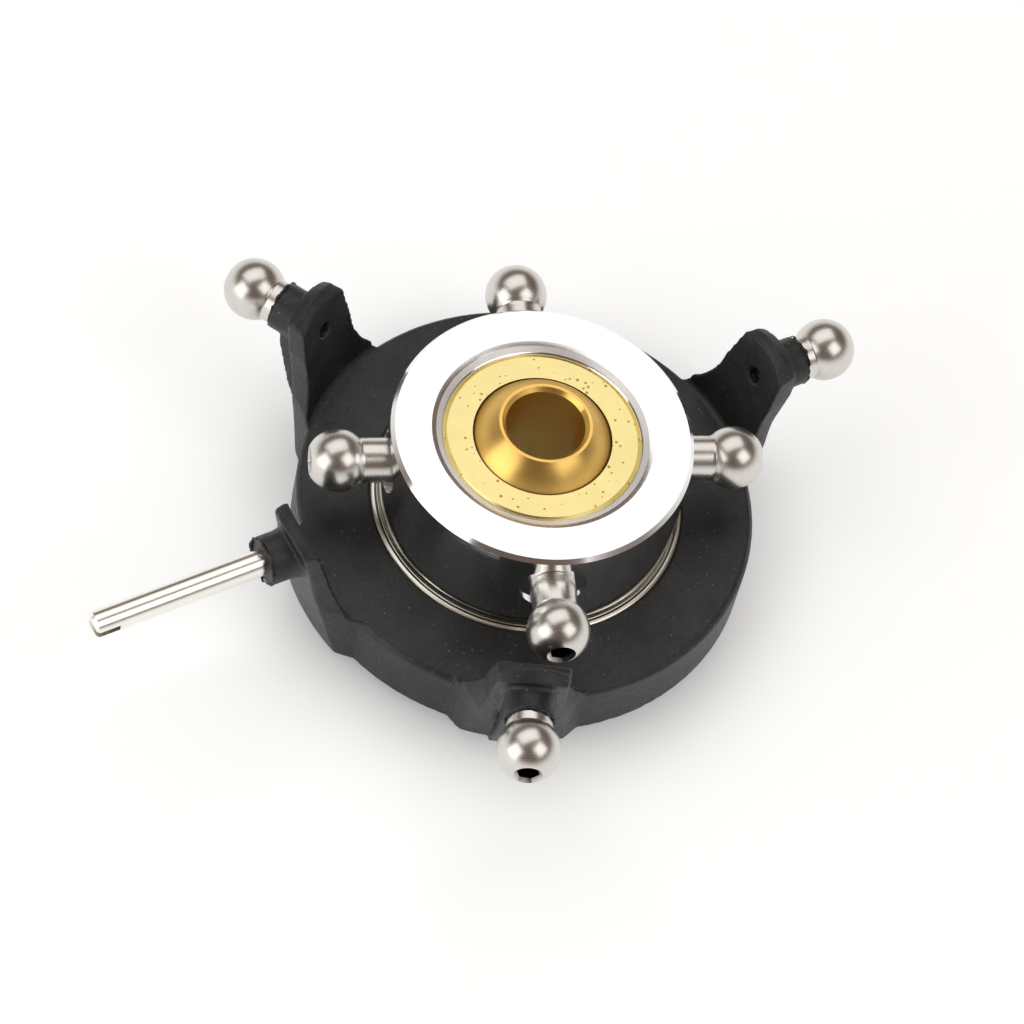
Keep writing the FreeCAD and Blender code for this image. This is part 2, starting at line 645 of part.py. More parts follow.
def pylon(name, degrees, hole_r, hole_depth, height="0", set_back="0", with_ball=False):
    """One moulded pylon with its round boss, blended out along +X.  height
    lifts the boss and set_back moves the inner face outwards.  with_ball adds
    a rib under the boss and a pilot hole through to the inner face."""
    body = new_body(name)
    web(body, name + "_wings", wing_outline, PYLON_ROOT, PYLON_CROWN)
    web(body, name + "_block", block_outline, PYLON_ROOT, PYLON_TIP)
    # Both faces are cones about the mast: they lean out as they rise.
    above = "(Sizes.crown_height + Sizes.crown_rise + Sizes.wing_end_height)"
    below = "(%s - Sizes.land_height)" % BEARING_LOW
    foot_r = "(%s + Sizes.pylon_foot_offset + %s)" % (RING_R, set_back)
    crown_r = "(%s + %s)" % (PYLON_CROWN, set_back)
    heel_r = "(%s + Sizes.pylon_heel_offset)" % RING_R
    lean_in = "((%s - %s) / (Sizes.crown_height - %s))" % (crown_r, foot_r, RING_TOP)
    lean_out = "((%s - %s) / (Sizes.crown_height - %s))" % (PYLON_BROW, heel_r, BEARING_LOW)
    inner_top = "(%s + %s * (%s - Sizes.crown_height))" % (crown_r, lean_in, above)
    outer_top = "(%s + %s * (%s - Sizes.crown_height))" % (PYLON_BROW, lean_out, above)
    outer_low = "(%s - %s * Sizes.land_height)" % (heel_r, lean_out)
    inside_r = "(%s - Sizes.pylon_root_depth)" % PYLON_ROOT
    outside_r = "(%s + Sizes.pylon_root_depth)" % PYLON_TIP
    fillet = "Sizes.pylon_foot_fillet"
    fillet_x = "(%s - %s)" % (foot_r, fillet)
    fillet_z = "(%s + %s)" % (RING_TOP, fillet)
    revolve(body, name + "_inner_face", [
        (inside_r, RING_TOP),
        (fillet_x, RING_TOP, "y"),
        (foot_r, fillet_z, "x"),
        (inner_top, above),
        (inside_r, above),
    ], arcs={1: (fillet_x, fillet_z)}, cut=True)
    doc.recompute()
    revolve(body, name + "_outer_face", [
        (outer_low, below),
        (outside_r, below),
        (outside_r, above),
        (outer_top, above),
    ], cut=True)
    doc.recompute()
    ledge = new_sketch(body, name + "_ledge_outline", "YZ_Plane",
                       "%s + Sizes.crown_ledge_depth" % crown_r)
    half = "Sizes.crown_ledge_half_width"
    apex = "(Sizes.crown_height - Sizes.crown_ledge_drop)"
    end = "(%s - Sizes.crown_rise)" % apex
    arch_r = "(pow(%s; 2) + pow(Sizes.crown_rise; 2)) / (2 * Sizes.crown_rise)" % half
    wide = "(%s + Sizes.wing_end_height)" % half
    outline(ledge, [
        (half, end),
        ("-" + half, end, "x"),
        ("-" + wide, end),
        ("-" + wide, above),
        (wide, above),
        (wide, end),
    ], arcs={0: ("0", "%s - (%s)" % (apex, arch_r))})
    rebate = body.newObject("PartDesign::Pocket", name + "_ledge")
    rebate.Profile = ledge
    rebate.Type = 0
    rebate.setExpression("Length", "Sizes.crown_to_ball_length")
    doc.recompute()
    boss = new_sketch(body, name + "_boss_profile", "XZ_Plane")
    land = "(%s - Sizes.boss_land_length)" % BOSS_END_R
    outline(boss, [
        (crown_r, height),
        (BOSS_END_R, height),
        (BOSS_END_R, "%s + Sizes.boss_dia / 2" % height),
        (land, "%s + Sizes.boss_dia / 2" % height),
        (crown_r, "%s + Sizes.boss_root_dia / 2" % height),
    ])
    turn = body.newObject("PartDesign::Revolution", name + "_boss")
    turn.Profile = boss
    turn.ReferenceAxis = (boss, ["Edge1"])
    turn.Angle = 360
    doc.recompute()
    if with_ball:
        rib_r = "(%s - Sizes.rib_set_back)" % BOSS_END_R
        rib_low = "(%s - Sizes.boss_dia / 2)" % height
        rib_heel_r = "(%s + Sizes.rib_heel_offset)" % heel_r
        bulge_r = "(%s + %s) / 2 + Sizes.rib_bulge" % (rib_heel_r, rib_r)
        web_side = new_sketch(body, name + "_rib_profile", "XZ_Plane")
        outline(web_side, [
            (crown_r, height),
            (crown_r, RING_TOP),
            (foot_r, BEARING_LOW),
            (rib_heel_r, BEARING_LOW),
            (bulge_r, "(%s + %s) / 2" % (BEARING_LOW, rib_low)),
            (rib_r, rib_low),
            (rib_r, height),
        ])
        rib = body.newObject("PartDesign::Pad", name + "_rib")
        rib.Profile = web_side
        rib.Midplane = True
        rib.setExpression("Length", "Sizes.rib_width")
        doc.recompute()
    drill(body, name + "_hole", hole_r, BOSS_END_R, hole_depth, y=height)
    if with_ball:
        drill(body, name + "_pilot", "Sizes.pilot_hole_dia / 2", BOSS_END_R,
              "%s - %s" % (BOSS_END_R, PYLON_ROOT), y=height)
    return turned(body, degrees)


moulding = [ring]
shank_hole_r = "Sizes.link_shank_dia / 2 + Sizes.thread_clearance"
pin_hole_r = "Sizes.pin_root_dia / 2 + Sizes.thread_clearance"
for number, degrees in enumerate(OUTER_BALL_ANGLES, start=1):
    moulding.append(pylon("ball_pylon_%d" % number, degrees, shank_hole_r,
                          "Sizes.link_shank_length + Sizes.hole_spare_depth",
                          height="Sizes.outer_ball_height", with_ball=True))
moulding.append(pylon("pin_pylon", PIN_ANGLE, pin_hole_r,
                      "Sizes.pin_root_length + Sizes.hole_spare_depth",
                      set_back="Sizes.pin_pylon_set_back"))
fused = doc.addObject("Part::MultiFuse", "swash_ring")
fused.Shapes = moulding
fused.Refine = True
pieces.append(fused)

# ---------------------------------------------------------------- pin
body = new_body("anti_rotation_pin")
pin_r = "Sizes.pin_dia / 2"
pin_root = "(%s - Sizes.pin_root_length)" % BOSS_END_R
pin_tip = "(%s + Sizes.pin_length)" % BOSS_END_R
revolve(body, "pin_turning", [
    (pin_root, "0"),
    (pin_root, "Sizes.pin_root_dia / 2"),
    (BOSS_END_R, "Sizes.pin_root_dia / 2"),
    (BOSS_END_R, pin_r),
    (pin_tip + " - Sizes.pin_edge", pin_r),
    (pin_tip, pin_r + " - Sizes.pin_edge"),
    (pin_tip, "0"),
], axis="H_Axis")
doc.recompute()
slot = new_sketch(body, "pin_slot_outline", "XZ_Plane")
outline(slot, [
    (pin_tip + " - Sizes.pin_slot_depth", "-Sizes.pin_slot_width / 2"),
    (pin_tip + " + Sizes.pin_edge", "-Sizes.pin_slot_width / 2"),
    (pin_tip + " + Sizes.pin_edge", "Sizes.pin_slot_width / 2"),
    (pin_tip + " - Sizes.pin_slot_depth", "Sizes.pin_slot_width / 2"),
])
cut = body.newObject("PartDesign::Pocket", "pin_slot")
cut.Profile = slot
cut.Type = 1
cut.Midplane = True
turned(body, PIN_ANGLE)
pieces.append(body)

doc.recompute()

# ---------------------------------------------------------------- checks and files
for obj in doc.Objects:
    if "Invalid" in obj.State or "Error" in obj.State:
        raise RuntimeError("%s is %s" % (obj.Label, obj.State))
for piece in pieces:
    shape = piece.Shape
    if shape.isNull() or not shape.isValid():
        raise RuntimeError("%s has no valid shape" % piece.Label)
    print("%-24s solids %2d  volume %9.3f" % (piece.Label, len(shape.Solids), shape.Volume))
    shape.exportStep("parts/%s.step" % piece.Label)
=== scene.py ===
# %% [markdown]
# A model helicopter's swashplate carries the pilot's commands from the still
# airframe to the turning rotor head. A black moulded ring stays still, an
# aluminium hub turns inside it on a ball bearing, and both tilt together on a
# brass ball that slides up and down the mast. The solids come packed in one
# frame, in metres, with the pivot at the origin and the mast along +Z. This
# lesson gives them the finishes and the small forms that solids leave out.

import json
import math

import bmesh
import bpy
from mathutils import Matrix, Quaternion, Vector
from mathutils.bvhtree import BVHTree


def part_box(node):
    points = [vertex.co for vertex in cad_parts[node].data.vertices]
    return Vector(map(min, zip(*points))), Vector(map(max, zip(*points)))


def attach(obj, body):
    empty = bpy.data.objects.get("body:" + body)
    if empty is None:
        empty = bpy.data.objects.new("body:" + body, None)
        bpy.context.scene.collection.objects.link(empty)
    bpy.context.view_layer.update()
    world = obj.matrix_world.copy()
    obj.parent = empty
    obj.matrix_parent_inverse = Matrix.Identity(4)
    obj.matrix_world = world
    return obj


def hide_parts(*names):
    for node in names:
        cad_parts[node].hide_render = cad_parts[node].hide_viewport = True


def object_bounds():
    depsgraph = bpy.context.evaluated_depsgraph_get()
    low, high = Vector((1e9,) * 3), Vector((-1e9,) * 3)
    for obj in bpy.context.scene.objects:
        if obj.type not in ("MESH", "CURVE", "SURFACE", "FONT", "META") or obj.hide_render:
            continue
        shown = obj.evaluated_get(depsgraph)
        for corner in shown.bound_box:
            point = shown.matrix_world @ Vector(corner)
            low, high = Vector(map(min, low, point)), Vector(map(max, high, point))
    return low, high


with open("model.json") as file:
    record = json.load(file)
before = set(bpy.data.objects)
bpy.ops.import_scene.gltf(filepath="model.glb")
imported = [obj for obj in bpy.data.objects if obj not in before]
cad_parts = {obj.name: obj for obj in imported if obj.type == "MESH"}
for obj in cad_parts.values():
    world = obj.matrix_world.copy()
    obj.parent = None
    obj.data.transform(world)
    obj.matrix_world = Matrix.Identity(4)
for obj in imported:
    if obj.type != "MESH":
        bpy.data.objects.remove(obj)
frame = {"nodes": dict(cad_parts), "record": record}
cad_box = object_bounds()
NODES = frame["nodes"]
MOUNTS = {mount["name"]: mount for mount in frame["record"]["mounts"]}
MM = 0.001
print("nodes:", len(NODES), "size in mm:", [round(s / MM, 2) for s in cad_box[1] - cad_box[0]])

# %% [markdown]
# The camera comes first, because every later choice is judged through it. It
# looks down at the hub from the pin's side with a long lens, so the round
# parts stay nearly true ellipses. A camera could be turned by hand, but named
# angles can be read and changed: azimuth and elevation place it on a sphere
# round the object, and roll leans the picture.

# %% The camera
VIEW_AZIMUTH = math.radians(-40.7)
VIEW_ELEVATION = math.radians(55.9)
VIEW_ROLL = math.radians(14.7)
VIEW_DISTANCE = 318 * MM
VIEW_TARGET = Vector((-4.0, -3.45, 0.0)) * MM
VIEW_LENS = 150


def direction(azimuth, elevation):
    """The way from the object to something that stands at these angles."""
    level = math.cos(elevation)
    return Vector((math.sin(azimuth) * level, -math.cos(azimuth) * level, math.sin(elevation)))


def facing(way, roll=0.0):
    """The turn that points a camera or lamp, standing that way off, at the object."""
    return (-way).to_track_quat("-Z", "Y") @ Quaternion((0, 0, 1), roll)


camera_data = bpy.data.cameras.new("studio_camera")
camera_data.lens = VIEW_LENS
camera_data.clip_start = 10 * MM
camera = bpy.data.objects.new("studio_camera", camera_data)
bpy.context.collection.objects.link(camera)
view_way = direction(VIEW_AZIMUTH, VIEW_ELEVATION)
camera.location = VIEW_TARGET + view_way * VIEW_DISTANCE
camera.rotation_mode = "QUATERNION"
camera.rotation_quaternion = facing(view_way, VIEW_ROLL)
bpy.context.scene.camera = camera
bpy.context.scene.view_settings.view_transform = "Standard"
print("camera at mm:", [round(c / MM, 1) for c in camera.location])

# %% [markdown]
# Node trees are wordy to build, so two helpers carry the rest of the lesson.
# One adds a node and fills its sockets, either with a plain value or with a
# link from another node. The other opens a node group with named sockets,
# which several materials can then share, each with its own values.

# %% Helpers for node trees
SOCKET_KINDS = {"f": "NodeSocketFloat", "v": "NodeSocketVector",
                "i": "NodeSocketInt", "m": "NodeSocketMaterial"}


def add(tree, kind, inputs=None, **settings):
    """Adds a node; inputs may be values or sockets to link from."""
    node = tree.nodes.new(kind)
    for name, setting in settings.items():
        setattr(node, name, setting)
    for name, given in (inputs or {}).items():
        if isinstance(given, bpy.types.NodeSocket):
            tree.links.new(given, node.inputs[name])
        else:
            node.inputs[name].default_value = given
    return node


def math_node(tree, operation, a, b=0.0):
    """One sum of two numbers or sockets."""
    return add(tree, "ShaderNodeMath", {0: a, 1: b}, operation=operation).outputs[0]


def blend_value(tree, share, low, high):
    """A value between low and high, by a share from 0 to 1."""
    node = add(tree, "ShaderNodeMapRange", {"Value": share, "To Min": low, "To Max": high})
    return node.outputs["Result"]


def blend_colour(tree, share, low, high):
    """A colour between two, by a share from 0 to 1."""
    node = add(tree, "ShaderNodeMix", data_type="RGBA")
    for socket, given in ((node.inputs[0], share), (node.inputs[6], low), (node.inputs[7], high)):
        if isinstance(given, bpy.types.NodeSocket):
            tree.links.new(given, socket)
        else:
            socket.default_value = given
    return node.outputs[2]


print("node helpers ready")


# %% Helpers for node groups and colours
def new_group(name, sockets_in, sockets_out):
    """A shader group with named sockets: "f" for a number, "v" for a vector."""
    group = bpy.data.node_groups.new(name, "ShaderNodeTree")
    for title, kind in sockets_in.items():
        group.interface.new_socket(title, in_out="INPUT", socket_type=SOCKET_KINDS[kind])
    for title, kind in sockets_out.items():
        group.interface.new_socket(title, in_out="OUTPUT", socket_type=SOCKET_KINDS[kind])
    return group, group.nodes.new("NodeGroupInput"), group.nodes.new("NodeGroupOutput")


def place_group(tree, group, inputs):
    """Puts a group into a material with its own values."""
    node = tree.nodes.new("ShaderNodeGroup")
    node.node_tree = group
    for title, given in inputs.items():
        if isinstance(given, bpy.types.NodeSocket):
            tree.links.new(given, node.inputs[title])
        else:
            node.inputs[title].default_value = given
    return node


def grey(value, warmth=0.0):
    """A near-neutral colour, a little warmer where warmth is over 0."""
    return (value * (1 + warmth), value, value * (1 - warmth), 1.0)


def darker(colour, share):
    """The same colour at a share of its brightness."""
    return tuple(c * share for c in colour[:3]) + (1.0,)


print("group helpers ready, sockets:", sorted(SOCKET_KINDS))


# %% [markdown]
# Four effects are shared. Mottle is cloud-like unevenness, as on moulded
# plastic. Turning marks are the fine grooves that a lathe tool leaves, which
# change along the turned profile only. Specks are scattered dots, for dust
# with painted glints on the nylon and for tarnish on the brass. The edge mask
# finds convex edges by comparing the true normal with one rounded over a small
# radius, and breaks the result up with noise; on the nylon it paints wear and a
# highlight along the edges.

# %% The mottle group
mottle, g_in, g_out = new_group(
    "mottle", {"Place": "v", "Scale": "f", "Contrast": "f"}, {"Share": "f"})
cloud = add(mottle, "ShaderNodeTexNoise", {
    "Vector": g_in.outputs["Place"], "Scale": g_in.outputs["Scale"],
    "Detail": 5.0, "Roughness": 0.62})
centred = math_node(mottle, "SUBTRACT", cloud.outputs["Fac"], 0.5)
spread = math_node(mottle, "MULTIPLY", centred, g_in.outputs["Contrast"])
share = add(mottle, "ShaderNodeMath", {0: spread, 1: 0.5}, operation="ADD", use_clamp=True)
mottle.links.new(share.outputs[0], g_out.inputs["Share"])
print("group:", mottle.name)

# %% The turning-marks group
turning_marks, g_in, g_out = new_group(
    "turning_marks", {"Along": "f", "Lines per metre": "f"}, {"Share": "f"})
step = math_node(turning_marks, "MULTIPLY", g_in.outputs["Along"], g_in.outputs["Lines per metre"])
line = add(turning_marks, "ShaderNodeTexNoise", {
    "W": step, "Scale": 1.0, "Detail": 2.5, "Roughness": 0.7}, noise_dimensions="1D")
turning_marks.links.new(line.outputs["Fac"], g_out.inputs["Share"])
print("group:", turning_marks.name)

# %% The specks group
specks, g_in, g_out = new_group(
    "specks", {"Place": "v", "Per metre": "f", "Size": "f", "Amount": "f"}, {"Mask": "f"})
cells = add(specks, "ShaderNodeTexVoronoi", {
    "Vector": g_in.outputs["Place"], "Scale": g_in.outputs["Per metre"]})
chance = add(specks, "ShaderNodeSeparateColor", {"Color": cells.outputs["Color"]})
chosen = math_node(specks, "LESS_THAN", chance.outputs[0], g_in.outputs["Amount"])
radius = math_node(specks, "MULTIPLY", chance.outputs[1], g_in.outputs["Size"])
inside = math_node(specks, "LESS_THAN", cells.outputs["Distance"], radius)
mask = math_node(specks, "MULTIPLY", chosen, inside)
specks.links.new(mask, g_out.inputs["Mask"])
print("group:", specks.name)

# %% The group for edge wear and painted edge highlight
EDGE_WEAR_AND_HIGHLIGHT_GAIN = 6.0
edge_wear_and_highlight, g_in, g_out = new_group(
    "edge_wear_and_highlight", {"Place": "v", "Width": "f", "Break up": "f"}, {"Mask": "f"})
soft = add(edge_wear_and_highlight, "ShaderNodeBevel", {"Radius": g_in.outputs["Width"]}, samples=6)
true = add(edge_wear_and_highlight, "ShaderNodeNewGeometry")
match = add(edge_wear_and_highlight, "ShaderNodeVectorMath", {
    0: soft.outputs["Normal"], 1: true.outputs["Normal"]}, operation="DOT_PRODUCT")
bend = math_node(edge_wear_and_highlight, "SUBTRACT", 1.0, match.outputs["Value"])
ragged = add(edge_wear_and_highlight, "ShaderNodeTexNoise", {
    "Vector": g_in.outputs["Place"], "Scale": g_in.outputs["Break up"], "Detail": 4.0})
lit_and_worn = math_node(edge_wear_and_highlight, "MULTIPLY", math_node(edge_wear_and_highlight, "MULTIPLY", bend, EDGE_WEAR_AND_HIGHLIGHT_GAIN),
                 ragged.outputs["Fac"])
capped = add(edge_wear_and_highlight, "ShaderNodeMath", {0: lit_and_worn, 1: 0.0}, operation="ADD", use_clamp=True)
edge_wear_and_highlight.links.new(capped.outputs[0], g_out.inputs["Mask"])
print("group:", edge_wear_and_highlight.name)


# %% [markdown]
# Every finish starts from the same few nodes: a Principled shader, object
# coordinates and one bump. A material could be copied and changed, but a
# builder function keeps each finish down to what makes it different.

# %% A blank finish
def new_finish(name, **shader_inputs):
    """A material with its shader, its object coordinates and its tree."""
    material = bpy.data.materials.new(name)
    material.use_nodes = True
    tree = material.node_tree
    tree.nodes.clear()
    shader = add(tree, "ShaderNodeBsdfPrincipled")
    for title, given in shader_inputs.items():
        shader.inputs[title.replace("_", " ")].default_value = given
    output = add(tree, "ShaderNodeOutputMaterial", {"Surface": shader.outputs["BSDF"]})
    output.is_active_output = True
    place = add(tree, "ShaderNodeTexCoord").outputs["Object"]
    return material, tree, shader, place


def bump(tree, shader, height, depth, strength=1.0):
    """Lets a height from 0 to 1 move the surface by depth, in metres."""
    node = add(tree, "ShaderNodeBump", {
        "Height": height, "Distance": depth, "Strength": strength})
    tree.links.new(node.outputs["Normal"], shader.inputs["Normal"])


def radius_from_mast(tree, place):
    """How far a point lies from the mast's axis."""
    axes = add(tree, "ShaderNodeSeparateXYZ", {"Vector": place})
    flat = add(tree, "ShaderNodeCombineXYZ", {"X": axes.outputs["X"], "Y": axes.outputs["Y"]})
    length = add(tree, "ShaderNodeVectorMath", {0: flat.outputs[0]}, operation="LENGTH")
    return length.outputs["Value"]


def across_the_marks(tree, place):
    """The way along a turned profile, square to the grooves of the tool."""
    axes = add(tree, "ShaderNodeSeparateXYZ", {"Vector": place})
    back = math_node(tree, "MULTIPLY", axes.outputs["Y"], -1.0)
    groove = add(tree, "ShaderNodeCombineXYZ", {"X": back, "Y": axes.outputs["X"]})
    turned = add(tree, "ShaderNodeVectorTransform", {"Vector": groove.outputs[0]},
                 vector_type="VECTOR", convert_from="OBJECT", convert_to="WORLD")
    normal = add(tree, "ShaderNodeNewGeometry").outputs["Normal"]
    across = add(tree, "ShaderNodeVectorMath", {0: turned.outputs[0], 1: normal},
                 operation="CROSS_PRODUCT")
    return add(tree, "ShaderNodeVectorMath", {0: across.outputs[0]},
               operation="NORMALIZE").outputs[0]


print("finish helpers ready")


# %% [markdown]
# The outer ring is moulded in black glass-filled nylon. It is matte, slightly
# cloudy where the fibres lie near the skin, dusted with pale specks that also
# stand in for painted glints, and a touch lighter along its edges, for wear and
# as a painted highlight. Plain black would look like a hole, so the colour
# moves between two dark greys.

# %% Black nylon
black_nylon, tree, shader, place = new_finish("black_nylon")
clouds = place_group(tree, mottle, {"Place": place, "Scale": 330.0, "Contrast": 2.6})
fibres = place_group(tree, mottle, {"Place": place, "Scale": 2600.0, "Contrast": 2.0})
dust_and_glints = place_group(tree, specks, {
    "Place": place, "Per metre": 3100.0, "Size": 0.26, "Amount": 0.20})
worn_lit_edges = place_group(tree, edge_wear_and_highlight, {"Place": place, "Width": 0.25 * MM, "Break up": 1400.0})
SKIN_DARK, SKIN_LIGHT = grey(0.007, -0.05), grey(0.026, -0.05)
# the lighter grey on convex edges is partly wear and partly a painted highlight
WORN_AND_LIT_EDGE = grey(0.050)
# the pale specks are dust and also painted glints
DUST_AND_GLINT = grey(0.10)
SKIN_ROUGH = (0.36, 0.54)
FIBRE_HEIGHT = 0.04 * MM
FIBRE_STRENGTH = 0.55
skin = blend_colour(tree, clouds.outputs["Share"], SKIN_DARK, SKIN_LIGHT)
lit_and_worn = blend_colour(tree, worn_lit_edges.outputs["Mask"], skin, WORN_AND_LIT_EDGE)
with_dust_and_glints = blend_colour(tree, dust_and_glints.outputs["Mask"], lit_and_worn, DUST_AND_GLINT)
tree.links.new(with_dust_and_glints, shader.inputs["Base Color"])
tree.links.new(blend_value(tree, fibres.outputs["Share"], *SKIN_ROUGH), shader.inputs["Roughness"])
bump(tree, shader, fibres.outputs["Share"], FIBRE_HEIGHT, FIBRE_STRENGTH)
print("finish:", black_nylon.name)

# %% [markdown]
# The metals share one recipe: full metallic colour, a low roughness that the
# lathe marks vary, and a shallow bump from the same marks. They differ in
# colour, polish and how coarse the marks are. On the hub, the races and the
# brass parts the marks run round the mast, so they follow the distance from
# its axis and the height together.


# %% The recipe for a turned metal
DISH_UPRIGHT = 0.883  # the Z of the normal on the dish's slope
DISH_SPREAD = 0.05
WALL_POLISH = 0.45
STAINED_SHARE = 0.55
CLOUD_SHARE = 0.90
# the colour of the painted shade deep inside a link ball's socket
SOCKET_DARK = grey(0.03)


def turned_metal(name, colour, rough, marks, depth, stain=None, grain=0.0, own_axis=False,
                 slope_rough=None):
    """A metal with lathe marks, so many to a metre and so deep, round the mast's
    axis or round the piece's own one.  grain, from 0 to 1, spreads its highlights
    across the marks, and stain is the colour of tarnish specks.  With slope_rough
    its walls are polished and its shallow slopes left that rough."""
    material, tree, shader, place = new_finish(name, Metallic=1.0, Anisotropic=grain)
    painted_socket_shade = None
    if own_axis:
        along = add(tree, "ShaderNodeAttribute", attribute_name="along").outputs["Fac"]
        painted_socket_shade = add(tree, "ShaderNodeAttribute", attribute_name="in_socket").outputs["Fac"]
    else:
        axes = add(tree, "ShaderNodeSeparateXYZ", {"Vector": place})
        along = math_node(tree, "ADD", radius_from_mast(tree, place), axes.outputs["Z"])
        tree.links.new(across_the_marks(tree, place), shader.inputs["Tangent"])
    lines = place_group(tree, turning_marks, {"Along": along, "Lines per metre": marks})
    clouds = place_group(tree, mottle, {"Place": place, "Scale": 420.0, "Contrast": 1.8})
    tint = blend_colour(tree, clouds.outputs["Share"], colour, darker(colour, CLOUD_SHARE))
    if stain:
        spots = place_group(tree, specks, {
            "Place": place, "Per metre": 2300.0, "Size": 0.30, "Amount": STAINED_SHARE})
        tint = blend_colour(tree, spots.outputs["Mask"], tint, stain)
    # painted shade: the inside of each link ball's socket gets darker the deeper it lies
    if painted_socket_shade:
        tint = blend_colour(tree, painted_socket_shade, tint, SOCKET_DARK)
    tree.links.new(tint, shader.inputs["Base Color"])
    roughness = blend_value(tree, lines.outputs["Share"], rough[0], rough[1])
    if slope_rough:
        facing_up = add(tree, "ShaderNodeSeparateXYZ", {
            "Vector": add(tree, "ShaderNodeTexCoord").outputs["Normal"]}).outputs["Z"]
        level = math_node(tree, "ABSOLUTE", facing_up)
        polish = blend_value(tree, level, WALL_POLISH, 1.0)
        roughness = math_node(tree, "MULTIPLY", roughness, polish)
        slope = add(tree, "ShaderNodeMath", {0: facing_up, 1: DISH_UPRIGHT, 2: DISH_SPREAD},
                    operation="COMPARE").outputs[0]
        roughness = blend_value(tree, slope, roughness, slope_rough)
        tree.links.new(math_node(tree, "MULTIPLY", level, grain), shader.inputs["Anisotropic"])
    tree.links.new(roughness, shader.inputs["Roughness"])
    bump(tree, shader, lines.outputs["Share"], depth)
    return material


print("recipe for turned metals ready")

# %% The metals of this object
METALS = {
    "turned_aluminium": dict(colour=grey(0.97), rough=(0.12, 0.24), marks=9 / MM,
                             depth=0.002 * MM, grain=0.85, slope_rough=0.58),
    "satin_brass": dict(colour=(0.92, 0.78, 0.35, 1.0), rough=(0.24, 0.38), marks=12 / MM,
                        depth=0.003 * MM, grain=0.4, stain=(0.42, 0.25, 0.08, 1.0)),
    "polished_brass": dict(colour=(0.94, 0.61, 0.17, 1.0), rough=(0.27, 0.39), marks=9 / MM,
                           depth=0.003 * MM, grain=0.5),
    "bearing_steel": dict(colour=(0.84, 0.81, 0.70, 1.0), rough=(0.24, 0.36), marks=12 / MM,
                          depth=0.003 * MM),
    "shield_steel": dict(colour=grey(0.10, 0.03), rough=(0.28, 0.42), marks=8 / MM,
                         depth=0.004 * MM),
    "spring_steel": dict(colour=grey(0.17, 0.02), rough=(0.25, 0.40), marks=6 / MM,
                         depth=0.004 * MM),
    "stainless_ball": dict(colour=(0.72, 0.695, 0.655, 1.0), rough=(0.23, 0.33), marks=14 / MM,
                           depth=0.0015 * MM, own_axis=True),
    "nickel_pin": dict(colour=(0.96, 0.94, 0.88, 1.0), rough=(0.18, 0.28), marks=9 / MM,
                       depth=0.002 * MM),
}
FINISHES = {"black_nylon": black_nylon}
for name, recipe in METALS.items():
    FINISHES[name] = turned_metal(name, **recipe)
print("turned metals:", len(METALS))

# %% [markdown]
# Two pale plastics are nearly out of sight: the seat of the mast ball and the
# cage of the bearing. They still get a faint cloudiness and a soft skin.

# %% Pale plastics
SKIN_SPREAD = 0.06


def pale_plastic(name, colour, rough):
    """An unpainted plastic with a cloudy skin."""
    material, tree, shader, place = new_finish(name)
    clouds = place_group(tree, mottle, {"Place": place, "Scale": 500.0, "Contrast": 1.6})
    tint = blend_colour(tree, clouds.outputs["Share"], colour, darker(colour, CLOUD_SHARE))
    tree.links.new(tint, shader.inputs["Base Color"])
    roughness = blend_value(tree, clouds.outputs["Share"], rough - SKIN_SPREAD,
                            rough + SKIN_SPREAD)
    tree.links.new(roughness, shader.inputs["Roughness"])
    return material


FINISHES["cage_nylon"] = pale_plastic("cage_nylon", (0.62, 0.57, 0.45, 1.0), rough=0.5)
FINISHES["white_acetal"] = pale_plastic("white_acetal", (0.86, 0.85, 0.81, 1.0), rough=0.4)
print("pale plastics made, finishes in all:", len(FINISHES))

# %% The finishes onto the solids
for part in frame["record"]["subparts"]:
    for slot in NODES[part["node"]].material_slots:
        slot.material = FINISHES[part["material_slot"]]

# %% [markdown]
# Seven steel link balls carry the rods. The real ones are turned from bar, one
# after another on the same lathe, then get a hexagon socket for the key that
# screws them in. One ball could be copied by hand seven times. Here its mesh
# is made once, ring by ring along its own axis, and a node tree then sets it
# round the mast, so that a change to the ball reaches all of them.

# %% Sizes of a link ball
BALL_R = MOUNTS["outer_link_1"]["dims"]["r_mm"] * MM
COLLAR_R = 1.70 * MM
OUTER_NECK = 2.40 * MM
HUB_NECK = 4.05 * MM
SHANK_R = 0.80 * MM
SHANK_LENGTH = 2.90 * MM
MOUTH_R = 1.10 * MM
SOCKET_FLATS = 1.50 * MM
SOCKET_DEPTH = 1.50 * MM
MOUTH_DEPTH = 0.25 * MM
EDGE_BREAK = 0.07 * MM
MOUTH_DROP = 0.014 * MM
MOUTH_STEP = 0.028 * MM
BALL_SEGMENTS = 72
BALL_RINGS = 40
COLLAR_RINGS = (0.3, 0.6, 0.9, 0.97)
BALL_START, BALL_STOP = 0.03, 0.02  # small turns, in radians, that ease both ends
print("link ball diameter in mm:", 2 * BALL_R / MM)


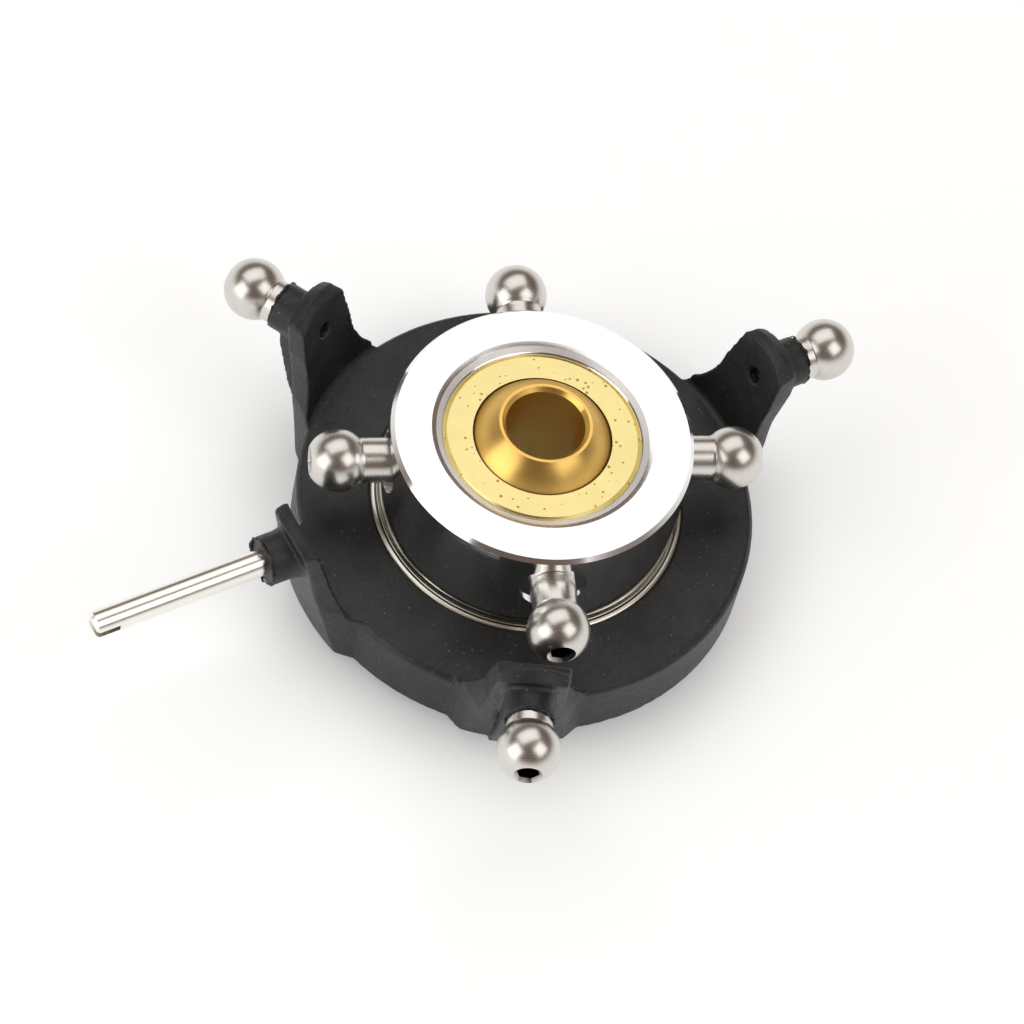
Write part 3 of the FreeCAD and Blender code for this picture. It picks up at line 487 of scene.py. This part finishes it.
# %% The outline of a link ball
def ball_profile(neck):
    """Pairs of place along the axis and radius, from shank to socket; neck is
    how far the collar's seat lies behind the ball's centre."""
    waist = -math.sqrt(BALL_R ** 2 - COLLAR_R ** 2)
    tip = math.sqrt(BALL_R ** 2 - MOUTH_R ** 2)
    rows = [(-neck - SHANK_LENGTH, 0.0), (-neck - SHANK_LENGTH, SHANK_R - EDGE_BREAK),
            (-neck - SHANK_LENGTH + EDGE_BREAK, SHANK_R), (-neck, SHANK_R),
            (-neck, COLLAR_R - EDGE_BREAK), (-neck + EDGE_BREAK, COLLAR_R)]
    rows += [(-neck + (waist + neck) * share, COLLAR_R) for share in COLLAR_RINGS]
    start = math.acos(waist / BALL_R) - BALL_START
    stop = math.acos(tip / BALL_R) + BALL_STOP
    for i in range(BALL_RINGS + 1):
        angle = start + (stop - start) * i / BALL_RINGS
        rows.append((BALL_R * math.cos(angle), BALL_R * math.sin(angle)))
    rows.append((tip - MOUTH_DROP, MOUTH_R - MOUTH_STEP))
    return rows, tip


def hexagon_radius(angle):
    """How far a regular hexagon's side is from its centre, at this angle."""
    third = math.pi / 3
    return SOCKET_FLATS / 2 / math.cos((angle % third) - third / 2)


print("rows in an outer ball's outline:", len(ball_profile(OUTER_NECK)[0]))


# %% The mesh of a link ball
SOCKET_SHADE_FROM = 0.4


def link_ball_mesh(name, neck):
    """A link ball pointing along +X, its ball centred on the origin."""
    rows, tip = ball_profile(neck)
    shape = bmesh.new()
    along = shape.verts.layers.float.new("along")
    depth_mark = shape.verts.layers.float.new("in_socket")
    angles = [2 * math.pi * i / BALL_SEGMENTS for i in range(BALL_SEGMENTS)]
    rings = []
    travelled = 0.0
    last = rows[0]

    def ring(x, radius_of, inside=0.0):
        made = []
        for angle in angles:
            r = radius_of(angle)
            vert = shape.verts.new((x, r * math.cos(angle), r * math.sin(angle)))
            vert[along] = travelled
            vert[depth_mark] = inside
            made.append(vert)
        rings.append(made)

    tail = shape.verts.new((rows[0][0], 0, 0))
    for x, r in rows[1:]:
        travelled += math.hypot(x - last[0], r - last[1])
        last = (x, r)
        ring(x, lambda angle: r)
    # the socket's rings carry in_socket, growing with depth, for the painted shade there
    for depth in (MOUTH_DEPTH, MOUTH_DEPTH + EDGE_BREAK, SOCKET_DEPTH):
        travelled += EDGE_BREAK
        dark = min(1.0, depth / MOUTH_DEPTH - SOCKET_SHADE_FROM)
        ring(tip - depth, hexagon_radius, inside=dark)
    floor_point = shape.verts.new((tip - SOCKET_DEPTH, 0, 0))
    floor_point[depth_mark] = 1.0
    for lower, upper in zip(rings, rings[1:]):
        for i in range(BALL_SEGMENTS):
            j = (i + 1) % BALL_SEGMENTS
            shape.faces.new((lower[i], lower[j], upper[j], upper[i]))
    for i in range(BALL_SEGMENTS):
        j = (i + 1) % BALL_SEGMENTS
        shape.faces.new((tail, rings[0][j], rings[0][i]))
        shape.faces.new((floor_point, rings[-1][i], rings[-1][j]))
    bmesh.ops.recalc_face_normals(shape, faces=shape.faces)
    mesh = bpy.data.meshes.new(name)
    shape.to_mesh(mesh)
    shape.free()
    return mesh


print("mesh of a link ball defined")


# %% The two lengths of link ball
def smooth_by_angle(mesh, degrees):
    """Smooth faces, with a crisp edge wherever they meet at more than this."""
    mesh.shade_smooth()
    mesh.set_sharp_from_angle(angle=math.radians(degrees))


outer_ball = link_ball_mesh("outer_ball", OUTER_NECK)
hub_ball = link_ball_mesh("hub_ball", HUB_NECK)
print("ball faces:", len(outer_ball.polygons), len(hub_ball.polygons))

# %% [markdown]
# A node tree for placing things is built in the same way as a material's tree.
# A helper makes the tree with its named inputs, and another one hangs it on an
# object, fills the inputs, and turns the result into a plain mesh.


# %% Helpers for geometry nodes
def new_layout(name, sockets_in):
    """A geometry tree with named inputs after its first one, the mesh."""
    layout = bpy.data.node_groups.new(name, "GeometryNodeTree")
    layout.interface.new_socket("Mesh", in_out="INPUT", socket_type="NodeSocketGeometry")
    for title, kind in sockets_in.items():
        layout.interface.new_socket(title, in_out="INPUT", socket_type=SOCKET_KINDS[kind])
    layout.interface.new_socket("Mesh", in_out="OUTPUT", socket_type="NodeSocketGeometry")
    return layout, layout.nodes.new("NodeGroupInput"), layout.nodes.new("NodeGroupOutput")


def grow(name, base_mesh, layout, values):
    """Runs a layout on a mesh and keeps the result as one plain object."""
    seed_object = bpy.data.objects.new(name + "_base", base_mesh)
    bpy.context.collection.objects.link(seed_object)
    modifier = seed_object.modifiers.new("layout", "NODES")
    modifier.node_group = layout
    for item in layout.interface.items_tree:
        if item.in_out == "INPUT" and item.name in values:
            modifier[item.identifier] = values[item.name]
    bpy.context.view_layer.update()
    depsgraph = bpy.context.evaluated_depsgraph_get()
    result = bpy.data.meshes.new_from_object(seed_object.evaluated_get(depsgraph))
    seed_object.modifiers.remove(modifier)
    bpy.data.objects.remove(seed_object)
    result.name = name
    grown = bpy.data.objects.new(name, result)
    bpy.context.collection.objects.link(grown)
    return grown


def geo(tree, kind, inputs=None, **settings):
    """add(), under a shorter name for geometry nodes."""
    return add(tree, "GeometryNode" + kind, inputs, **settings)


print("layout helpers ready")


# %% The tree that sets link balls round the mast
balls_round_mast, g_in, g_out = new_layout("balls_round_mast", {
    "Count": "i", "Reach": "f", "Height": "f", "First angle": "f", "Seed": "i", "Finish": "m"})
points = geo(balls_round_mast, "Points", {"Count": g_in.outputs["Count"]})
index = geo(balls_round_mast, "InputIndex").outputs[0]
step = math_node(balls_round_mast, "DIVIDE", 2 * math.pi, g_in.outputs["Count"])
turn = math_node(balls_round_mast, "ADD", g_in.outputs["First angle"],
                 math_node(balls_round_mast, "MULTIPLY", index, step))
x = math_node(balls_round_mast, "MULTIPLY", g_in.outputs["Reach"],
              math_node(balls_round_mast, "COSINE", turn))
y = math_node(balls_round_mast, "MULTIPLY", g_in.outputs["Reach"],
              math_node(balls_round_mast, "SINE", turn))
where = add(balls_round_mast, "ShaderNodeCombineXYZ", {
    "X": x, "Y": y, "Z": g_in.outputs["Height"]})
set_out = geo(balls_round_mast, "SetPosition", {
    "Geometry": points.outputs[0], "Position": where.outputs[0]})
roll = add(balls_round_mast, "FunctionNodeRandomValue", {
    "ID": index, "Seed": g_in.outputs["Seed"]}, data_type="FLOAT")
rolled = math_node(balls_round_mast, "MULTIPLY", roll.outputs[1], math.pi / 3)
euler = add(balls_round_mast, "ShaderNodeCombineXYZ", {"X": rolled, "Z": turn})
copies = geo(balls_round_mast, "InstanceOnPoints", {
    "Points": set_out.outputs[0], "Instance": g_in.outputs["Mesh"],
    "Rotation": euler.outputs[0]})
real = geo(balls_round_mast, "RealizeInstances", {"Geometry": copies.outputs[0]})
dressed = geo(balls_round_mast, "SetMaterial", {
    "Geometry": real.outputs[0], "Material": g_in.outputs["Finish"]})
balls_round_mast.links.new(dressed.outputs[0], g_out.inputs[0])
print("layout:", balls_round_mast.name)


# %% The link balls
BALL_CREASE = 40


def set_of_balls(name, mesh, first_mount, count, seed, body, nodes):
    """One object with every ball of a body, standing for the plain solids."""
    place = MOUNTS[first_mount]["pos_m"]
    balls = grow(name, mesh, balls_round_mast, {
        "Count": count, "Reach": math.hypot(place[0], place[1]), "Height": place[2],
        "First angle": math.atan2(place[1], place[0]), "Seed": seed,
        "Finish": FINISHES["stainless_ball"]})
    smooth_by_angle(balls.data, BALL_CREASE)
    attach(balls, body)
    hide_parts(*nodes)
    print(name, "faces:", len(balls.data.polygons))


OUTER_COUNT = sum(name.startswith("outer_link_ball") for name in NODES)
HUB_COUNT = sum(name.startswith("hub_link_ball") for name in NODES)
set_of_balls("outer_link_balls", outer_ball, "outer_link_1", OUTER_COUNT, seed=4, body="outer",
             nodes=["outer_link_ball_%d" % (i + 1) for i in range(OUTER_COUNT)])
set_of_balls("hub_link_balls", hub_ball, "hub_link_1", HUB_COUNT, seed=9, body="hub",
             nodes=["hub_link_ball_%d" % (i + 1) for i in range(HUB_COUNT)])

# %% [markdown]
# The moulded ring comes out of its tool with soft edges. A bevel on a solid
# with so many crossing faces breaks up at the corners, so the ring is rebuilt
# instead as a fine even mesh, which smoothing then rounds. Smoothing would also
# shrink the flat faces and the bearing's bore, so every point that is still
# close to the true surface goes back onto it, and only the edges stay round.

# %% What the softening needs
RING_MESH_STEP = 0.13 * MM
SMOOTHING_ROUNDS = 10
CALMING_ROUNDS = 3
KEEP_WITHIN = 0.02 * MM
LEAVE_BEYOND = 0.07 * MM
MOST_TRIANGLES = 170000


def merged_copy(name, source):
    """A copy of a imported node's mesh with its loose triangles joined."""
    mesh = source.data.copy()
    mesh.name = name
    shape = bmesh.new()
    shape.from_mesh(mesh)
    bmesh.ops.remove_doubles(shape, verts=shape.verts, dist=0.001 * MM)
    shape.to_mesh(mesh)
    shape.free()
    return mesh


print("mesh step in mm:", RING_MESH_STEP / MM)


# %% The soft moulded ring
def softened(name, source):
    """An even mesh over a solid, with rounded edges and true faces."""
    true_mesh = merged_copy(name + "_true", source)
    body = bpy.data.objects.new(name, true_mesh)
    bpy.context.collection.objects.link(body)
    remesh = body.modifiers.new("even", "REMESH")
    remesh.mode = "VOXEL"
    remesh.voxel_size = RING_MESH_STEP
    smooth = body.modifiers.new("round", "SMOOTH")
    smooth.iterations = SMOOTHING_ROUNDS
    bpy.context.view_layer.update()
    depsgraph = bpy.context.evaluated_depsgraph_get()
    even = bpy.data.meshes.new_from_object(body.evaluated_get(depsgraph))
    body.modifiers.clear()
    surface = BVHTree.FromPolygons([v.co for v in true_mesh.vertices],
                                   [p.vertices for p in true_mesh.polygons])
    for vertex in even.vertices:
        nearest, _, _, away = surface.find_nearest(vertex.co)
        if away < LEAVE_BEYOND:
            share = min(1.0, (LEAVE_BEYOND - away) / (LEAVE_BEYOND - KEEP_WITHIN))
            vertex.co = vertex.co.lerp(nearest, share)
    body.data = even
    even.name = name
    calm = body.modifiers.new("calm", "SMOOTH")
    calm.iterations = CALMING_ROUNDS
    thin = body.modifiers.new("thin", "DECIMATE")
    thin.ratio = MOST_TRIANGLES / (2 * len(even.polygons))
    bpy.context.view_layer.update()
    depsgraph = bpy.context.evaluated_depsgraph_get()
    body.data = bpy.data.meshes.new_from_object(body.evaluated_get(depsgraph))
    body.data.name = name
    body.modifiers.clear()
    return body


ring_body = softened("moulded_ring", NODES["swash_ring"])
ring_body.data.materials.clear()
ring_body.data.materials.append(black_nylon)
ring_body.data.shade_smooth()
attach(ring_body, "outer")
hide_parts("swash_ring")
print("ring faces:", len(ring_body.data.polygons))

# %% [markdown]
# A few turned forms are too fine for the solids but catch the light: the hub's
# dish is rounded over where it meets the flat, and the bearing's shield is
# rolled into a groove just inside the outer race's face. Each is a thin ring,
# drawn as a small closed outline and turned round the mast.

# %% Thin turned rings
RING_SEGMENTS = 192
RING_CREASE = 35


def turned_ring(name, outline, slot, body):
    """A closed outline of (radius, height) in millimetres, turned round the mast."""
    shape = bmesh.new()
    rings = []
    for i in range(RING_SEGMENTS):
        angle = 2 * math.pi * i / RING_SEGMENTS
        rings.append([shape.verts.new((r * MM * math.cos(angle), r * MM * math.sin(angle), z * MM))
                      for r, z in outline])
    for i in range(RING_SEGMENTS):
        here, there = rings[i], rings[(i + 1) % RING_SEGMENTS]
        for j in range(len(outline)):
            k = (j + 1) % len(outline)
            shape.faces.new((here[j], here[k], there[k], there[j]))
    bmesh.ops.recalc_face_normals(shape, faces=shape.faces)
    mesh = bpy.data.meshes.new(name)
    shape.to_mesh(mesh)
    shape.free()
    mesh.materials.append(FINISHES[slot])
    smooth_by_angle(mesh, RING_CREASE)
    ring = bpy.data.objects.new(name, mesh)
    bpy.context.collection.objects.link(ring)
    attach(ring, body)
    print(name, "faces:", len(mesh.polygons))


# %% The hub's dish
hub_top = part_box("hub")[1].z / MM
cover_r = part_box("ball_retaining_ring")[1].x / MM
DISH_WIDTH = 0.95
DISH_DROP = 0.50
DISH_BULGE = 0.45
SUNK = 0.03
ARC_STEPS = 14
round_over = [(cover_r + DISH_WIDTH, hub_top - SUNK), (cover_r, hub_top - DISH_DROP - SUNK)]
for i in range(ARC_STEPS + 1):
    angle = math.pi / 2 * i / ARC_STEPS
    out = 1 - math.cos(angle)
    up = out + (math.sin(angle) - out) * DISH_BULGE
    round_over.append((cover_r + DISH_WIDTH * out, hub_top - DISH_DROP * (1 - up)))
turned_ring("hub_dish", round_over, "turned_aluminium", "hub")

# %% The bearing's face
race_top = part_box("bearing_outer_race")[1].z / MM
race_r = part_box("bearing_outer_race")[1].x / MM
LAND_WIDTH = 0.34
LAND_PROUD = 0.09
LAND_EDGE = 0.04
GROOVE_WIDTH = 0.13
GROOVE_PROUD = 0.01
RIM_R = 0.08
RIM_STEPS = 12
land_out = race_r - LAND_EDGE
land_in = race_r - LAND_WIDTH
turned_ring("race_land", [
    (land_in, race_top - SUNK), (land_out, race_top - SUNK), (land_out, race_top),
    (land_out - LAND_EDGE, race_top + LAND_EDGE), (land_in + 2 * LAND_EDGE, race_top + LAND_PROUD),
    (land_in + LAND_EDGE, race_top + LAND_PROUD), (land_in, race_top + LAND_EDGE),
], "bearing_steel", "outer")
groove_in = land_in - GROOVE_WIDTH
groove_top = race_top + GROOVE_PROUD
turned_ring("shield_groove", [
    (groove_in, race_top - SUNK), (land_in, race_top - SUNK),
    (land_in, groove_top), (groove_in, groove_top),
], "shield_steel", "outer")
rim_at = groove_in - RIM_R
rolled = []
for i in range(RIM_STEPS):
    angle = 2 * math.pi * i / RIM_STEPS
    rolled.append((rim_at + RIM_R * math.cos(angle), race_top + RIM_R * math.sin(angle)))
turned_ring("shield_rim", rolled, "bearing_steel", "outer")

# %% [markdown]
# Where the two halves of a mould meet round a boss, a little plastic creeps
# into the gap and leaves a thin ragged lip, called flash. It runs round the
# open end of each boss. Drawing four ragged lips by hand would be slow and
# would look the same four times, so a node tree makes one closed curve at each
# boss, shakes it with noise and gives it an uneven thickness.

# %% The tree that makes mould flash
mould_flash, g_in, g_out = new_layout("mould_flash", {
    "Radius": "f", "Thickness": "f", "Raggedness": "f", "Finish": "m"})
circle = geo(mould_flash, "CurvePrimitiveCircle", {
    "Resolution": 96, "Radius": g_in.outputs["Radius"]})
here = geo(mould_flash, "InputPosition").outputs[0]
axes = add(mould_flash, "ShaderNodeSeparateXYZ", {"Vector": here})
heading = math_node(mould_flash, "ARCTAN2", axes.outputs["Y"], axes.outputs["X"])
stand = add(mould_flash, "ShaderNodeCombineXYZ", {"Y": math.pi / 2, "Z": heading})
spots = geo(mould_flash, "MeshToPoints", {"Mesh": g_in.outputs["Mesh"]})
lips = geo(mould_flash, "InstanceOnPoints", {
    "Points": spots.outputs[0], "Instance": circle.outputs[0],
    "Rotation": stand.outputs[0]})
curves = geo(mould_flash, "RealizeInstances", {"Geometry": lips.outputs[0]})
noise = add(mould_flash, "ShaderNodeTexNoise", {
    "Vector": here, "Scale": 1500.0, "Detail": 3.0, "Roughness": 0.6})
shake = add(mould_flash, "ShaderNodeVectorMath", {
    0: noise.outputs["Color"], 1: (0.5, 0.5, 0.5)}, operation="SUBTRACT")
shift = add(mould_flash, "ShaderNodeVectorMath", {
    0: shake.outputs[0], "Scale": g_in.outputs["Raggedness"]}, operation="SCALE")
shaken = geo(mould_flash, "SetPosition", {
    "Geometry": curves.outputs[0], "Offset": shift.outputs[0]})
patchy = add(mould_flash, "ShaderNodeTexNoise", {
    "Vector": here, "Scale": 900.0, "Detail": 2.0})
girth = add(mould_flash, "ShaderNodeMapRange", {
    "Value": patchy.outputs[0], "From Min": 0.35, "From Max": 0.70,
    "To Min": 0.3, "To Max": 1.7}).outputs["Result"]
profile = geo(mould_flash, "CurvePrimitiveCircle", {
    "Resolution": 10, "Radius": g_in.outputs["Thickness"]})
swept = geo(mould_flash, "CurveToMesh", {
    "Curve": shaken.outputs[0], "Profile Curve": profile.outputs[0], "Scale": girth})
dressed = geo(mould_flash, "SetMaterial", {
    "Geometry": swept.outputs[0], "Material": g_in.outputs["Finish"]})
mould_flash.links.new(dressed.outputs[0], g_out.inputs[0])
print("layout:", mould_flash.name)

# %% The flash on the bosses
BOSS_LIP_R = 1.80 * MM
LIP_THICKNESS = 0.11 * MM
LIP_RAGGEDNESS = 0.55 * MM
pin_mount = MOUNTS["anti_rotation_pin"]
boss_ends = []
for i in range(OUTER_COUNT):
    mount = MOUNTS["outer_link_%d" % (i + 1)]
    boss_ends.append(Vector(mount["pos_m"]) - Vector(mount["axis"]) * OUTER_NECK)
pin_root = Vector(pin_mount["pos_m"]) - Vector(pin_mount["axis"]) * (
    pin_mount["dims"]["length_mm"] / 2 * MM)
boss_ends.append(pin_root)
points = bpy.data.meshes.new("boss_ends")
points.from_pydata(boss_ends, [], [])
flash = grow("mould_flash_lips", points, mould_flash, {
    "Radius": BOSS_LIP_R, "Thickness": LIP_THICKNESS, "Raggedness": LIP_RAGGEDNESS,
    "Finish": black_nylon})
flash.data.shade_smooth()
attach(flash, "outer")
print("flash faces:", len(flash.data.polygons))

# %% [markdown]
# The studio is a white floor under three soft lamps: a wide one nearly
# overhead, and a smaller, brighter one on each side. Polished balls show a
# lamp as a bright patch, so each lamp's place and size is also a choice of
# highlight. Between them the room is a dim warm grey, which gives the metal
# its dark bands, and near the horizon it is pale.


# %% Lamps
LAMP_DISTANCE = 600 * MM


def softbox(name, way, width, height, brightness):
    """A flat lamp of a given surface brightness, aimed at the object."""
    lamp = bpy.data.lights.new(name, "AREA")
    lamp.shape = "RECTANGLE"
    lamp.size = width
    lamp.size_y = height
    lamp.energy = brightness * math.pi * width * height
    body = bpy.data.objects.new(name, lamp)
    bpy.context.collection.objects.link(body)
    body.location = way.normalized() * LAMP_DISTANCE
    body.rotation_mode = "QUATERNION"
    body.rotation_quaternion = facing(way.normalized())
    print(name, "watts:", round(lamp.energy, 2))


softbox("lamp_overhead", Vector((0.04, 0.40, 0.92)), width=0.80, height=0.52, brightness=1.16)
softbox("lamp_left", Vector((-0.90, 0.05, 0.42)), width=0.46, height=0.46, brightness=1.7)
softbox("lamp_right", Vector((0.30, -0.58, 0.75)), width=0.42, height=0.42, brightness=1.5)

# %% The room
ROOM_DIM = (0.135, 0.098, 0.078, 1.0)
ROOM_PALE = (0.80, 0.79, 0.76, 1.0)
PALE_UP_TO, DIM_FROM = 0.14, 0.32  # heights on a sphere of radius 1
world = bpy.data.worlds.new("studio_room")
bpy.context.scene.world = world
world.use_nodes = True
tree = world.node_tree
tree.nodes.clear()
height = add(tree, "ShaderNodeSeparateXYZ", {
    "Vector": add(tree, "ShaderNodeTexCoord").outputs["Generated"]}).outputs["Z"]
rise = add(tree, "ShaderNodeMapRange", {
    "Value": height, "From Min": PALE_UP_TO, "From Max": DIM_FROM})
room = blend_colour(tree, rise.outputs["Result"], ROOM_PALE, ROOM_DIM)
seen = add(tree, "ShaderNodeLightPath").outputs["Is Camera Ray"]
sky = blend_colour(tree, seen, room, (1.0, 1.0, 1.0, 1.0))
glow = add(tree, "ShaderNodeBackground", {"Color": sky, "Strength": 1.0})
add(tree, "ShaderNodeOutputWorld", {"Surface": glow.outputs[0]})
print("room:", world.name)

# %% [markdown]
# The floor is white paper. A lamp strong enough to burn it white would burn
# the aluminium too, so the paper glows a little instead, to the camera and in
# reflections only. The glow fades out under and round the object, which paints
# a soft shadow there besides its real one, and grows far off, where the lamps
# no longer reach.

# %% The floor
FLOOR_SPAN = 3.0
PAPER = (0.78, 0.795, 0.80, 1.0)
GLOW = (0.985, 1.0, 1.0, 1.0)
FLOOR_LIFT = 0.48
# painted shadow: the glow stays low within SHADE_FROM of the mast and is full from SHADE_TO
SHADE_FROM = 9 * MM
SHADE_TO = 26 * MM
SHADE_LIFT = 0.10
FAR_FROM = 150 * MM
FAR_TO = 700 * MM
FAR_LIFT = 0.48
floor_mesh = bpy.data.meshes.new("floor")
half = FLOOR_SPAN / 2
low = cad_box[0].z
floor_mesh.from_pydata([(-half, -half, low), (half, -half, low), (half, half, low),
                        (-half, half, low)], [], [(0, 1, 2, 3)])
floor = bpy.data.objects.new("floor", floor_mesh)
bpy.context.collection.objects.link(floor)
floor_white = bpy.data.materials.new("floor_white")
floor_white.use_nodes = True
tree = floor_white.node_tree
tree.nodes.clear()
path = add(tree, "ShaderNodeLightPath")
seen = math_node(tree, "MAXIMUM", path.outputs["Is Camera Ray"], path.outputs["Is Glossy Ray"])
seen = math_node(tree, "MAXIMUM", seen, path.outputs["Is Transmission Ray"])
away = radius_from_mast(tree, add(tree, "ShaderNodeTexCoord").outputs["Object"])
# the glow fades towards the object, a painted shadow under and round it
glow_with_painted_shadow = add(tree, "ShaderNodeMapRange", {
    "Value": away, "From Min": SHADE_FROM, "From Max": SHADE_TO,
    "To Min": SHADE_LIFT, "To Max": FLOOR_LIFT}, interpolation_type="SMOOTHSTEP").outputs["Result"]
far_off = add(tree, "ShaderNodeMapRange", {
    "Value": away, "From Min": FAR_FROM, "From Max": FAR_TO,
    "To Min": 0.0, "To Max": FAR_LIFT}, interpolation_type="SMOOTHSTEP").outputs["Result"]
lifted = math_node(tree, "ADD", glow_with_painted_shadow, far_off)
paper = add(tree, "ShaderNodeBsdfDiffuse", {"Color": PAPER})
lift = add(tree, "ShaderNodeEmission", {
    "Color": GLOW, "Strength": math_node(tree, "MULTIPLY", seen, lifted)})
both = add(tree, "ShaderNodeAddShader", {0: paper.outputs[0], 1: lift.outputs[0]})
# from below the floor is clear, so that the underside can be looked at
under = add(tree, "ShaderNodeNewGeometry").outputs["Backfacing"]
clear = add(tree, "ShaderNodeBsdfTransparent")
sided = add(tree, "ShaderNodeMixShader", {0: under, 1: both.outputs[0], 2: clear.outputs[0]})
add(tree, "ShaderNodeOutputMaterial", {"Surface": sided.outputs[0]})
floor_mesh.materials.append(floor_white)
print("studio ready")
